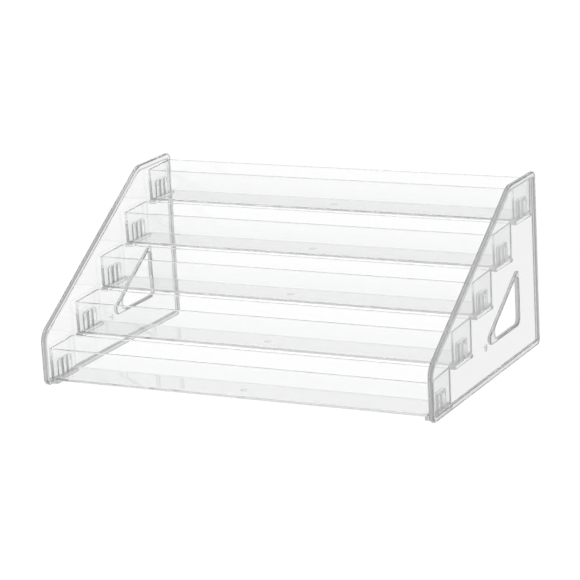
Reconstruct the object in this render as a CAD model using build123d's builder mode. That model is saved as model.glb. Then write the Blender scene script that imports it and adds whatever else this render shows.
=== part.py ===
from build123d import *
import math
import os

os.makedirs("parts", exist_ok=True)

# Nail polish rack: two clear side panels carry five stepped bottle trays.
# X runs along the trays, the customer side faces -Y, Z is up.
# The origin is on the table, under the middle of the rack. Millimetres throughout.

# The whole rack
overall_width = 340.0
panel_depth = 222.0
panel_height = 145.0
tray_count = 5
tray_step_back = 44.0
tray_step_up = 27.0
running_gap = 0.3

# Side panel: a thin plate inside a rim that stands proud on both faces
front_height = 43.0
top_depth = 55.5
rim_thickness = 4.0
rim_width = 4.8
rim_round = 1.3
rim_step_round = 1.1
plate_thickness = 1.6
plate_recess = 1.2
bottom_front_round = 6.0
front_bend = 15.0
top_front_bend = 20.0
back_round = 5.0

# Triangular hand hole in each side panel, measured from the panel's front and bottom.
# Its corner rounds are given in the order front, lower back, top.
hole_front = 111.5
hole_back = 178.0
hole_bottom = 30.0
hole_top = 70.8
hole_rounds = [5.9, 4.5, 3.5]
hole_lip_width = 2.4
hole_lip_rounds = [5.0, 6.0, 3.0]
hole_edge_round = 1.3
hole_step_round = 1.0

# Round moulding gates
gate_diameter = 6.0
gate_depth = 0.8
gate_tip_diameter = 1.8
panel_gate_front = 108.6
panel_gate_height = 28.7

# Tray: a long open trough closed by a wall at each end
first_tray_front = 5.2
first_tray_bottom = 3.6
tray_depth = 36.8
tray_front_height = 26.9
tray_back_height = 28.3
tray_wall = 1.8
tray_floor = 1.8
tray_draft = 0.5
end_wall = 2.0
trough_outer_round = 1.0
trough_inner_round = 0.5
wall_top_round = 0.8

# Socket in each tray end: a hollow boss inside the trough that drops over the panel's T rail
socket_width = 21.0
socket_height = 16.2
socket_reach = 3.2
socket_round = 3.0
socket_web = 0.8
socket_mouth = 0.9
socket_inner_round = 2.2
slot_width = 5.2
slot_height = 14.6
slot_round = 1.2

# T rail and ledge on the panel, one pair for each tray end
rail_side_gap = 0.5
rail_shoulder = 10.0
rail_peak = 14.8
rail_stem_width = 3.8
rail_stem_height = 13.6
ledge_reach = 6.8
ledge_thickness = 2.6
ledge_front_inset = 0.5
ledge_back_inset = 2.0
ledge_round = 2.4

# How closely a face must lie on a plane to count as part of it
plane_match = 0.01

# Places worked out from the sizes above
panel_front = -panel_depth / 2
panel_back = panel_depth / 2
rim_outer_x = overall_width / 2
rim_inner_x = rim_outer_x - rim_thickness
plate_inner_x = rim_inner_x + plate_recess
plate_outer_x = plate_inner_x + plate_thickness
tray_end_x = rim_inner_x - running_gap
socket_outer_x = tray_end_x - socket_mouth
socket_inner_x = tray_end_x - socket_reach + socket_web
rail_neck_x = socket_outer_x - running_gap
rail_head_x = socket_inner_x + running_gap


def tray_front(index):
    return panel_front + first_tray_front + index * tray_step_back


def tray_bottom(index):
    return first_tray_bottom + index * tray_step_up


def tray_middle(index):
    return tray_front(index) + tray_depth / 2


def panel_outline():
    corners = [
        (panel_front, 0),
        (panel_front, front_height),
        (panel_back - top_depth, panel_height),
        (panel_back, panel_height),
        (panel_back, 0),
    ]
    rounds = [bottom_front_round, front_bend, top_front_bend, back_round, back_round]
    FilletPolyline(*corners, radius=rounds, close=True)


def hand_hole_outline(grow, rounds):
    """The hand hole's triangle with every side moved outwards by grow."""
    slope = math.atan2(hole_top - hole_bottom, hole_back - hole_front)
    front = panel_front + hole_front - grow / math.tan(slope / 2)
    back = panel_front + hole_back + grow
    bottom = hole_bottom - grow
    top = bottom + (back - front) * math.tan(slope)
    FilletPolyline((front, bottom), (back, bottom), (back, top), radius=rounds, close=True)


def outermost_faces(panel):
    """The faces of a side panel that lie on the two planes it stands between."""
    return panel.faces().filter_by(
        lambda face: min(
            abs(abs(face.center().X) - rim_outer_x),
            abs(abs(face.center().X) - rim_inner_x),
        )
        < plane_match
    )


def build_side_panel(side):
    """One side panel; side is -1 for the left hand end and 1 for the right."""
    rim_inner = Plane.YZ.offset(side * rim_inner_x)
    plate_inner = Plane.YZ.offset(side * plate_inner_x)
    plate_outer = Plane.YZ.offset(side * plate_outer_x)

    with BuildPart() as panel:
        # plate
        with BuildSketch(plate_inner):
            with BuildLine():
                panel_outline()
            make_face()
        extrude(amount=side * plate_thickness)

        # rim all round the edge, softer outside than where it meets the plate
        with BuildSketch(rim_inner):
            with BuildLine():
                panel_outline()
            make_face()
            offset(amount=-rim_width, mode=Mode.SUBTRACT)
        extrude(amount=side * rim_thickness)
        rim_edges = ShapeList()
        step_edges = ShapeList()
        for face in outermost_faces(panel):
            rim_edges += face.outer_wire().edges()
            for wire in face.inner_wires():
                step_edges += wire.edges()
        fillet(rim_edges, radius=rim_round)
        fillet(step_edges, radius=rim_step_round)

        # raised bead round the hand hole, then the hole itself
        with BuildSketch(rim_inner):
            with BuildLine():
                hand_hole_outline(hole_lip_width, hole_lip_rounds)
            make_face()
        extrude(amount=side * rim_thickness)
        with BuildSketch(rim_inner):
            with BuildLine():
                hand_hole_outline(0, hole_rounds)
            make_face()
        extrude(amount=side * rim_thickness, mode=Mode.SUBTRACT)
        hole_edges = ShapeList()
        step_edges = ShapeList()
        for face in outermost_faces(panel).sort_by(SortBy.AREA)[:2]:
            step_edges += face.outer_wire().edges()
            for wire in face.inner_wires():
                hole_edges += wire.edges()
        fillet(hole_edges, radius=hole_edge_round)
        fillet(step_edges, radius=hole_step_round)

        # moulding gate on the outer face
        gate_centre = (panel_front + panel_gate_front, panel_gate_height)
        with BuildSketch(plate_outer):
            with Locations(gate_centre):
                Circle(gate_diameter / 2)
                Circle(gate_tip_diameter / 2, mode=Mode.SUBTRACT)
        extrude(amount=-side * gate_depth, mode=Mode.SUBTRACT)

        for index in range(tray_count):
            # ledge that the tray end rests on, rounded at its lower back corner
            ledge_front = tray_front(index) + ledge_front_inset
            ledge_back = tray_front(index) + tray_depth - ledge_back_inset
            ledge_top = tray_bottom(index)
            ledge_bottom = ledge_top - ledge_thickness
            with BuildSketch(plate_inner):
                with BuildLine():
                    FilletPolyline(
                        (ledge_front, ledge_bottom),
                        (ledge_back, ledge_bottom),
                        (ledge_back, ledge_top),
                        (ledge_front, ledge_top),
                        radius=[0, ledge_round, 0, 0],
                        close=True,
                    )
                make_face()
            extrude(amount=-side * ledge_reach)

            # stem of the T rail
            middle = tray_middle(index)
            with BuildSketch(plate_inner):
                with Locations((middle, ledge_top)):
                    Rectangle(rail_stem_width, rail_stem_height, align=(Align.CENTER, Align.MIN))
            extrude(amount=-side * (plate_inner_x - rail_neck_x))

            # head of the T rail, pointed at the top to lead the socket on
            head_half = socket_width / 2 - socket_web - rail_side_gap
            with BuildSketch(Plane.YZ.offset(side * rail_head_x)):
                with BuildLine():
                    Polyline(
                        (middle - head_half, ledge_top),
                        (middle + head_half, ledge_top),
                        (middle + head_half, ledge_top + rail_shoulder),
                        (middle, ledge_top + rail_peak),
                        (middle - head_half, ledge_top + rail_shoulder),
                        close=True,
                    )
                make_face()
            extrude(amount=side * (rail_neck_x - rail_head_x))
    return panel


def trough_outline(front, bottom):
    back = front + tray_depth
    return [
        (front, bottom + tray_front_height),
        (front + tray_draft, bottom),
        (back - tray_draft, bottom),
        (back, bottom + tray_back_height),
    ]


def arch_outline(middle, bottom, width, height, corner_round):
    FilletPolyline(
        (middle - width / 2, bottom),
        (middle - width / 2, bottom + height),
        (middle + width / 2, bottom + height),
        (middle + width / 2, bottom),
        radius=[0, corner_round, corner_round, 0],
        close=True,
    )


def build_tray(index):
    """One tray, in its place on the rack; index 0 is the front and lowest tray."""
    front = tray_front(index)
    bottom = tray_bottom(index)
    back = front + tray_depth
    middle = tray_middle(index)

    with BuildPart() as tray:
        # floor, front wall and back wall in one run
        with BuildSketch(Plane.YZ):
            with BuildLine():
                FilletPolyline(
                    *trough_outline(front, bottom),
                    (back - tray_wall, bottom + tray_back_height),
                    (back - tray_wall - tray_draft, bottom + tray_floor),
                    (front + tray_wall + tray_draft, bottom + tray_floor),
                    (front + tray_wall, bottom + tray_front_height),
                    radius=[
                        wall_top_round,
                        trough_outer_round,
                        trough_outer_round,
                        wall_top_round,
                        wall_top_round,
                        trough_inner_round,
                        trough_inner_round,
                        wall_top_round,
                    ],
                    close=True,
                )
            make_face()
        extrude(amount=tray_end_x, both=True)

        # moulding gate under the floor
        with BuildSketch(Plane.XY.offset(bottom)):
            with Locations((0, middle)):
                Circle(gate_diameter / 2)
                Circle(gate_tip_diameter / 2, mode=Mode.SUBTRACT)
        extrude(amount=gate_depth, mode=Mode.SUBTRACT)

        for side in (-1, 1):
            tray_end = Plane.YZ.offset(side * tray_end_x)

            # end wall
            with BuildSketch(tray_end):
                with BuildLine():
                    FilletPolyline(
                        *trough_outline(front, bottom),
                        radius=[wall_top_round, trough_outer_round, trough_outer_round, wall_top_round],
                        close=True,
                    )
                make_face()
            extrude(amount=-side * end_wall)

            # boss that stands into the trough
            with BuildSketch(tray_end):
                with BuildLine():
                    arch_outline(middle, bottom, socket_width, socket_height, socket_round)
                make_face()
            extrude(amount=-side * socket_reach)

            # room for the head of the T rail, open at the bottom
            with BuildSketch(Plane.YZ.offset(side * socket_outer_x)):
                with BuildLine():
                    arch_outline(
                        middle,
                        bottom,
                        socket_width - 2 * socket_web,
                        socket_height - socket_web,
                        socket_inner_round,
                    )
                make_face()
            extrude(amount=-side * (socket_outer_x - socket_inner_x), mode=Mode.SUBTRACT)

            # slot for the stem of the T rail
            with BuildSketch(tray_end):
                with BuildLine():
                    arch_outline(middle, bottom, slot_width, slot_height, slot_round)
                make_face()
            extrude(amount=-side * socket_mouth, mode=Mode.SUBTRACT)
    return tray


for panel_name, panel_side in (("side_panel_left", -1), ("side_panel_right", 1)):
    side_panel = build_side_panel(panel_side)
    side_panel.part.label = panel_name
    export_step(side_panel.part, f"parts/{panel_name}.step")

for tray_index in range(tray_count):
    tray_name = f"tray_{tray_index + 1}"
    bottle_tray = build_tray(tray_index)
    bottle_tray.part.label = tray_name
    export_step(bottle_tray.part, f"parts/{tray_name}.step")
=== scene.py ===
import bpy
import math
from mathutils import Matrix, Vector

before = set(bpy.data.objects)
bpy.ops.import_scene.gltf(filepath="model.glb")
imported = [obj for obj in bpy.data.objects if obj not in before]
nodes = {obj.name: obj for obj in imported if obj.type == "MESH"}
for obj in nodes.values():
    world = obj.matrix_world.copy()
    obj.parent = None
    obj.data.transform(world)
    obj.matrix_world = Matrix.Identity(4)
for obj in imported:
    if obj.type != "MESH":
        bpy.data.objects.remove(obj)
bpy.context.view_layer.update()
print("frame loaded:", len(nodes), "nodes")

scene = bpy.context.scene

# camera: angles in degrees, distance and aim in metres, lens and sensor in millimetres
cameraLook = {
    "turn": 27.2,
    "height": 14.97,
    "roll": 3.24,
    "distance": 1.988,
    "aim": (0.00514, -0.011, 0.066),
    "lens": 154.4,
    "sensor": 36,
    "farthest": 50,
}


def placeCamera(look):
    turn = math.radians(look["turn"])
    height = math.radians(look["height"])
    back = Vector((math.sin(turn) * math.cos(height), -math.cos(turn) * math.cos(height), math.sin(height)))
    right = Vector((0, 0, 1)).cross(back).normalized()
    up = back.cross(right)
    roll = Matrix.Rotation(math.radians(look["roll"]), 3, -back)
    axes = Matrix((roll @ right, roll @ up, back)).transposed().to_4x4()
    axes.translation = Vector(look["aim"]) + back * look["distance"]
    data = bpy.data.cameras.new("camera")
    data.sensor_width = look["sensor"]
    data.lens = look["lens"]
    data.clip_end = look["farthest"]
    camera = bpy.data.objects.new("camera", data)
    camera.matrix_world = axes
    scene.collection.objects.link(camera)
    scene.camera = camera


placeCamera(cameraLook)
print("camera placed")

# what every piece of the clear plastic shares
plasticFinish = {
    "clear": 0.985,
    "ior": 1.5,
    "roughness": 0.015,
    "scuffRoughness": 0.05,
    "scuffScale": 60.0,
    "scuffDetail": 6,
    "scuffFrom": 0.5,
    "scuffTo": 0.8,
    "waveScale": 22.0,
    "waveDetail": 1,
    "waveDepth": 0.000004,
    "shadowTint": (0.97, 0.97, 0.97),
}

# where one tint gives way to the next: how squarely the skin faces an axis, and over how many metres
blendLook = {
    "roundFrom": 0.995,
    "roundTo": 0.93,
    "stripFrom": 0.15,
    "stripTo": 0.03,
    "sideFrom": 0.5,
    "sideTo": 0.9,
    "step": 0.0001,
}


def addNode(tree, kind, **values):
    node = tree.nodes.new(kind)
    for key, value in values.items():
        setattr(node, key, value)
    return node


def doMath(tree, operation, first, second=None):
    node = addNode(tree, "ShaderNodeMath", operation=operation)
    for socket, value in zip(node.inputs, (first, second)):
        if value is None:
            continue
        if isinstance(value, (int, float)):
            socket.default_value = value
        else:
            tree.links.new(value, socket)
    return node.outputs[0]


def times(tree, first, second):
    return doMath(tree, "MULTIPLY", first, second)


def unsigned(tree, value):
    return doMath(tree, "ABSOLUTE", value)


# a soft climb from low to high while the value goes from start to end, which may run downwards
def ramp(tree, value, start, end, low=0.0, high=1.0):
    node = addNode(tree, "ShaderNodeMapRange", interpolation_type="SMOOTHSTEP")
    node.inputs["From Min"].default_value = start
    node.inputs["From Max"].default_value = end
    node.inputs["To Min"].default_value = low
    node.inputs["To Max"].default_value = high
    tree.links.new(value, node.inputs["Value"])
    return node.outputs["Result"]


def above(tree, value, limit):
    return ramp(tree, value, limit, limit + blendLook["step"])


def below(tree, value, limit):
    return ramp(tree, value, limit + blendLook["step"], limit)


def between(tree, value, low, high):
    return times(tree, above(tree, value, low), below(tree, value, high))


def mixTint(tree, share, first, second):
    node = addNode(tree, "ShaderNodeMix", data_type="RGBA")
    tree.links.new(share, node.inputs["Factor"])
    for socket, value in zip((node.inputs[6], node.inputs[7]), (first, second)):  # the two colour sockets
        if isinstance(value, tuple):
            socket.default_value = (*value, 1)
        else:
            tree.links.new(value, socket)
    return node.outputs[2]  # the mixed colour


# clear plastic whose tint and haze come from the function passed in: its tints are painted shade, so that
# edges read darker than flats
def plasticBody(name, look, finish, shadeTintFrom):
    material = bpy.data.materials.new(name)
    material.use_nodes = True
    tree = material.node_tree
    tree.nodes.clear()
    place = addNode(tree, "ShaderNodeTexCoord")
    out = addNode(tree, "ShaderNodeOutputMaterial")
    body = addNode(tree, "ShaderNodeBsdfPrincipled")
    body.inputs["IOR"].default_value = finish["ior"]
    tint, cloud = shadeTintFrom(tree, look)
    tree.links.new(tint, body.inputs["Base Color"])
    # the edges are made hazier, so their painted shade shows there as grey
    haze = addNode(tree, "ShaderNodeMapRange")
    haze.inputs["To Min"].default_value = finish["clear"]
    haze.inputs["To Max"].default_value = look["edgeClear"]
    tree.links.new(cloud, haze.inputs["Value"])
    tree.links.new(haze.outputs["Result"], body.inputs["Transmission Weight"])

    # fine scuffs
    scuff = addNode(tree, "ShaderNodeTexNoise")
    scuff.inputs["Scale"].default_value = finish["scuffScale"]
    scuff.inputs["Detail"].default_value = finish["scuffDetail"]
    tree.links.new(place.outputs["Object"], scuff.inputs["Vector"])
    worn = (finish["roughness"], finish["scuffRoughness"])
    rough = ramp(tree, scuff.outputs["Fac"], finish["scuffFrom"], finish["scuffTo"], *worn)
    tree.links.new(rough, body.inputs["Roughness"])

    # slow waves left by the moulding
    wave = addNode(tree, "ShaderNodeTexNoise")
    wave.inputs["Scale"].default_value = finish["waveScale"]
    wave.inputs["Detail"].default_value = finish["waveDetail"]
    bump = addNode(tree, "ShaderNodeBump")
    bump.inputs["Strength"].default_value = 1
    bump.inputs["Distance"].default_value = finish["waveDepth"]
    tree.links.new(place.outputs["Object"], wave.inputs["Vector"])
    tree.links.new(wave.outputs["Fac"], bump.inputs["Height"])
    tree.links.new(bump.outputs["Normal"], body.inputs["Normal"])

    # light from the lamps passes through to the table
    seeThrough = addNode(tree, "ShaderNodeBsdfTransparent")
    seeThrough.inputs["Color"].default_value = (*finish["shadowTint"], 1)
    path = addNode(tree, "ShaderNodeLightPath")
    mix = addNode(tree, "ShaderNodeMixShader")
    tree.links.new(path.outputs["Is Shadow Ray"], mix.inputs[0])
    tree.links.new(body.outputs[0], mix.inputs[1])
    tree.links.new(seeThrough.outputs[0], mix.inputs[2])
    tree.links.new(mix.outputs[0], out.inputs["Surface"])
    return material


# how squarely the skin faces along X, Y and Z, each from 0 to 1
def facing(tree):
    geometry = addNode(tree, "ShaderNodeNewGeometry")
    absolute = addNode(tree, "ShaderNodeVectorMath", operation="ABSOLUTE")
    tree.links.new(geometry.outputs["True Normal"], absolute.inputs[0])
    split = addNode(tree, "ShaderNodeSeparateXYZ")
    tree.links.new(absolute.outputs[0], split.inputs[0])
    return split.outputs


# the middle and the floor of a tray, along Y and Z
def trayMiddleAndFloor(tray):
    alongY = [corner[1] for corner in tray.bound_box]
    alongZ = [corner[2] for corner in tray.bound_box]
    return (min(alongY) + max(alongY)) / 2, min(alongZ)


firstMiddle, firstFloor = trayMiddleAndFloor(nodes["tray_1"])
secondMiddle, secondFloor = trayMiddleAndFloor(nodes["tray_2"])
pitchBack = secondMiddle - firstMiddle
pitchUp = secondFloor - firstFloor


# where the skin is: X, Y and Z, then how far behind the nearest tray's middle and how high above its floor
def places(tree):
    place = addNode(tree, "ShaderNodeTexCoord")
    split = addNode(tree, "ShaderNodeSeparateXYZ")
    tree.links.new(place.outputs["Object"], split.inputs[0])
    steps = doMath(tree, "DIVIDE", doMath(tree, "SUBTRACT", split.outputs["Y"], firstMiddle), pitchBack)
    nearest = doMath(tree, "ROUND", steps)
    behind = times(tree, doMath(tree, "SUBTRACT", steps, nearest), pitchBack)
    floorAt = doMath(tree, "ADD", times(tree, nearest, pitchUp), firstFloor)
    return split.outputs, behind, doMath(tree, "SUBTRACT", split.outputs["Z"], floorAt)


# side panels: each tint is painted shade, given as the share of light left after going in and out again,
# each place is in metres
panelLook = {
    "leftPlateShadeTint": (0.92, 0.922, 0.923),
    "rightPlateShadeTint": (0.84, 0.842, 0.843),
    "plateMiddle": 0.168,
    "plateHalf": 0.00084,
    "leftRimShadeTint": (0.88, 0.882, 0.885),
    "rightRimShadeTint": (0.74, 0.742, 0.745),
    "leftFootShadeTint": (0.5, 0.502, 0.505),
    "footFrom": 0.0021,
    "footTo": 0.0048,
    "sideShadeTint": (0.77, 0.772, 0.775),
    "leftEdgeShadeTint": (0.52, 0.522, 0.525),
    "rightEdgeShadeTint": (0.58, 0.582, 0.585),
    "leftTopShadeTint": (0.85, 0.852, 0.855),
    "topFrom": 0.115,
    "topTo": 0.125,
    "rightBackShadeTint": (0.4, 0.402, 0.405),
    "backFrom": 0.1045,
    "ledgeShadeTint": (0.92, 0.922, 0.923),
    "railTint": (0.99, 0.99, 0.99),
    "railHalf": 0.0096,
    "railTo": 0.1655,
    "edgeClear": 0.68,
}


def panelShadeTint(tree, look):
    x = facing(tree)["X"]
    place, behind, height = places(tree)
    across = place["X"]
    sideOn = unsigned(tree, across)
    onRight = above(tree, across, 0.0)

    # plate, and the flats of the rim that stand proud of it, in painted shade: the right side darker than
    # the left, the rims darker than the plates, and a dark painted band low on the left rim
    plate = mixTint(tree, onRight, look["leftPlateShadeTint"], look["rightPlateShadeTint"])
    foot = between(tree, place["Z"], look["footFrom"], look["footTo"])
    leftRim = mixTint(tree, foot, look["leftRimShadeTint"], look["leftFootShadeTint"])
    rim = mixTint(tree, onRight, leftRim, look["rightRimShadeTint"])
    offPlate = unsigned(tree, doMath(tree, "SUBTRACT", sideOn, look["plateMiddle"]))
    flat = mixTint(tree, above(tree, offPlate, look["plateHalf"]), plate, rim)
    # faces that don't face along X are painted darker
    notAcross = ramp(tree, x, blendLook["roundFrom"], blendLook["roundTo"])
    straight = mixTint(tree, notAcross, flat, look["sideShadeTint"])

    # rounded edges, painted darker: lighter high on the left panel's outer side, darkest at the back of the
    # right one
    pastEdge = ramp(tree, x, blendLook["stripTo"], blendLook["stripFrom"])
    rounded = times(tree, notAcross, pastEdge)
    high = ramp(tree, place["Z"], look["topFrom"], look["topTo"])
    leftTop = times(tree, below(tree, across, -look["plateMiddle"]), high)
    rightBack = times(tree, onRight, above(tree, place["Y"], look["backFrom"]))
    edges = mixTint(tree, onRight, look["leftEdgeShadeTint"], look["rightEdgeShadeTint"])
    edges = mixTint(tree, leftTop, edges, look["leftTopShadeTint"])
    edges = mixTint(tree, rightBack, edges, look["rightBackShadeTint"])
    skin = mixTint(tree, rounded, straight, edges)

    # rails and ledges that carry the trays, the ledges in painted grey shade and the rails nearly clear
    inward = below(tree, sideOn, look["railTo"])
    nearMiddle = below(tree, unsigned(tree, behind), look["railHalf"])
    onRail = times(tree, nearMiddle, above(tree, height, 0.0))
    carrier = mixTint(tree, onRail, look["ledgeShadeTint"], look["railTint"])
    return mixTint(tree, inward, skin, carrier), notAcross


# trays, in the same terms, with painted shade; the stripes are painted dark shade on either side of a
# socket's slot
trayLook = {
    "tint": (0.965, 0.967, 0.968),
    "edgeShadeTint": (0.9, 0.902, 0.905),
    "cornerShadeTint": (0.78, 0.782, 0.785),
    "cornerTop": 0.0018,
    "endShadeTint": (0.95, 0.952, 0.955),
    "endEdgeShadeTint": (0.88, 0.882, 0.885),
    "endFrom": 0.1636,
    "socketShadeTint": (0.4, 0.402, 0.405),
    "socketFrom": 0.162,
    "socketHalf": 0.0107,
    "socketTop": 0.0164,
    "slotTint": (0.99, 0.99, 0.99),
    "stripeShadeTint": (0.12, 0.122, 0.125),
    "leftSlotHalf": 0.0016,
    "leftStripeHalf": 0.005,
    "leftStripeFrom": 0.163,
    "leftStripeTo": 0.1635,
    "rightSlotHalf": 0.0028,
    "rightStripeHalf": 0.0085,
    "rightStripeFrom": 0.1645,
    "rightStripeTo": 0.165,
    "rightShift": 0.0025,
    "edgeClear": 0.8,
}


# where the painted dark stripes lie beside each socket's slot
def socketShadeStripes(tree, look, across, behind):
    leftWeb = between(tree, across, -look["leftStripeTo"], -look["leftStripeFrom"])
    besideLeft = between(tree, unsigned(tree, behind), look["leftSlotHalf"], look["leftStripeHalf"])
    rightMouth = between(tree, across, look["rightStripeFrom"], look["rightStripeTo"])
    shifted = unsigned(tree, doMath(tree, "ADD", behind, look["rightShift"]))
    besideRight = between(tree, shifted, look["rightSlotHalf"], look["rightStripeHalf"])
    return doMath(tree, "MAXIMUM", times(tree, leftWeb, besideLeft), times(tree, rightMouth, besideRight))


def trayShadeTint(tree, look):
    x, y, z = facing(tree)
    place, behind, height = places(tree)
    across = place["X"]
    sideOn = unsigned(tree, across)
    squarest = doMath(tree, "MAXIMUM", doMath(tree, "MAXIMUM", x, y), z)
    edge = ramp(tree, squarest, blendLook["roundFrom"], blendLook["roundTo"])
    notAcross = ramp(tree, x, blendLook["roundFrom"], blendLook["roundTo"])
    toSide = ramp(tree, y, blendLook["sideFrom"], blendLook["sideTo"])

    # long walls, with a darker strip of painted shade where they meet the floor, and rounded edges painted
    # darker
    corner = times(tree, below(tree, height, look["cornerTop"]), toSide)
    walls = mixTint(tree, corner, look["tint"], look["cornerShadeTint"])
    walls = mixTint(tree, edge, walls, look["edgeShadeTint"])

    # end walls, painted a little darker, with darker painted shade on their rounded edges
    atEnd = above(tree, sideOn, look["endFrom"])
    endWalls = mixTint(tree, notAcross, look["endShadeTint"], look["endEdgeShadeTint"])
    ends = mixTint(tree, atEnd, walls, endWalls)

    # sockets, in painted dark shade, with the painted dark stripes beside each slot
    inSocket = times(
        tree,
        below(tree, unsigned(tree, behind), look["socketHalf"]),
        below(tree, height, look["socketTop"]),
    )
    inSocket = times(tree, inSocket, above(tree, sideOn, look["socketFrom"]))
    shadeStripes = mixTint(tree, socketShadeStripes(tree, look, across, behind), look["slotTint"], look["stripeShadeTint"])
    sockets = mixTint(tree, toSide, shadeStripes, look["socketShadeTint"])
    cloud = doMath(tree, "MAXIMUM", edge, times(tree, atEnd, notAcross))
    return mixTint(tree, inSocket, ends, sockets), cloud


clearPanel = plasticBody("clearPanel", panelLook, plasticFinish, panelShadeTint)
clearTray = plasticBody("clearTray", trayLook, plasticFinish, trayShadeTint)
for name, piece in nodes.items():
    piece.data.materials.clear()
    piece.data.materials.append(clearPanel if name.startswith("side_panel") else clearTray)
print("plastic laid on")

# floor
floorLook = {"size": 24.0, "colour": (0.1, 0.1, 0.1), "glow": 0.96, "roughness": 0.9}


def layFloor(look):
    half = look["size"] / 2
    mesh = bpy.data.meshes.new("floor")
    corners = [(-half, -half, 0), (half, -half, 0), (half, half, 0), (-half, half, 0)]
    mesh.from_pydata(corners, [], [(0, 1, 2, 3)])
    floor = bpy.data.objects.new("floor", mesh)
    scene.collection.objects.link(floor)
    white = bpy.data.materials.new("paleFloor")
    white.use_nodes = True
    shader = white.node_tree.nodes["Principled BSDF"]
    shader.inputs["Base Color"].default_value = (*look["colour"], 1)
    shader.inputs["Roughness"].default_value = look["roughness"]
    shader.inputs["Specular IOR Level"].default_value = 0.0
    shader.inputs["Emission Color"].default_value = (1, 1, 1, 1)
    shader.inputs["Emission Strength"].default_value = look["glow"]
    mesh.materials.append(white)


layFloor(floorLook)
print("floor laid")

# surroundings: brighter behind the rack, dimmer behind the camera
roomLook = {"bright": 0.75, "dark": 0.45, "brightFrom": 0.35, "darkTo": -0.1}


def lightRoom(look):
    world = bpy.data.worlds.new("room")
    scene.world = world
    world.use_nodes = True
    tree = world.node_tree
    background = tree.nodes["Background"]
    place = addNode(tree, "ShaderNodeTexCoord")
    split = addNode(tree, "ShaderNodeSeparateXYZ")
    rise = addNode(tree, "ShaderNodeMapRange")
    rise.inputs["From Min"].default_value = look["darkTo"]
    rise.inputs["From Max"].default_value = look["brightFrom"]
    rise.inputs["To Min"].default_value = look["dark"]
    rise.inputs["To Max"].default_value = look["bright"]
    tree.links.new(place.outputs["Generated"], split.inputs[0])
    tree.links.new(split.outputs["Y"], rise.inputs["Value"])
    tree.links.new(rise.outputs["Result"], background.inputs["Strength"])
    background.inputs["Color"].default_value = (1, 1, 1, 1)


lightRoom(roomLook)

# two large soft lamps that point at the rack: place and size in metres, power in watts
lamps = {
    "overLeft": {"place": (-1.4, -0.6, 1.8), "size": 1.2, "power": 6.0},
    "overRight": {"place": (1.6, -1.2, 1.4), "size": 1.0, "power": 3.0},
}


def hangLamp(name, look):
    data = bpy.data.lights.new(name, "AREA")
    data.size = look["size"]
    data.energy = look["power"]
    lamp = bpy.data.objects.new(name, data)
    place = Vector(look["place"])
    lamp.location = place
    lamp.rotation_euler = place.to_track_quat("Z", "Y").to_euler()
    scene.collection.objects.link(lamp)


for name, look in lamps.items():
    hangLamp(name, look)
print("lights hung")

# enough bounces for light to find its way out of the clear plastic
lightBounces = {"max_bounces": 40, "transmission_bounces": 40, "glossy_bounces": 20}
for kind, count in lightBounces.items():
    setattr(scene.cycles, kind, count)
scene.view_settings.view_transform = "Standard"
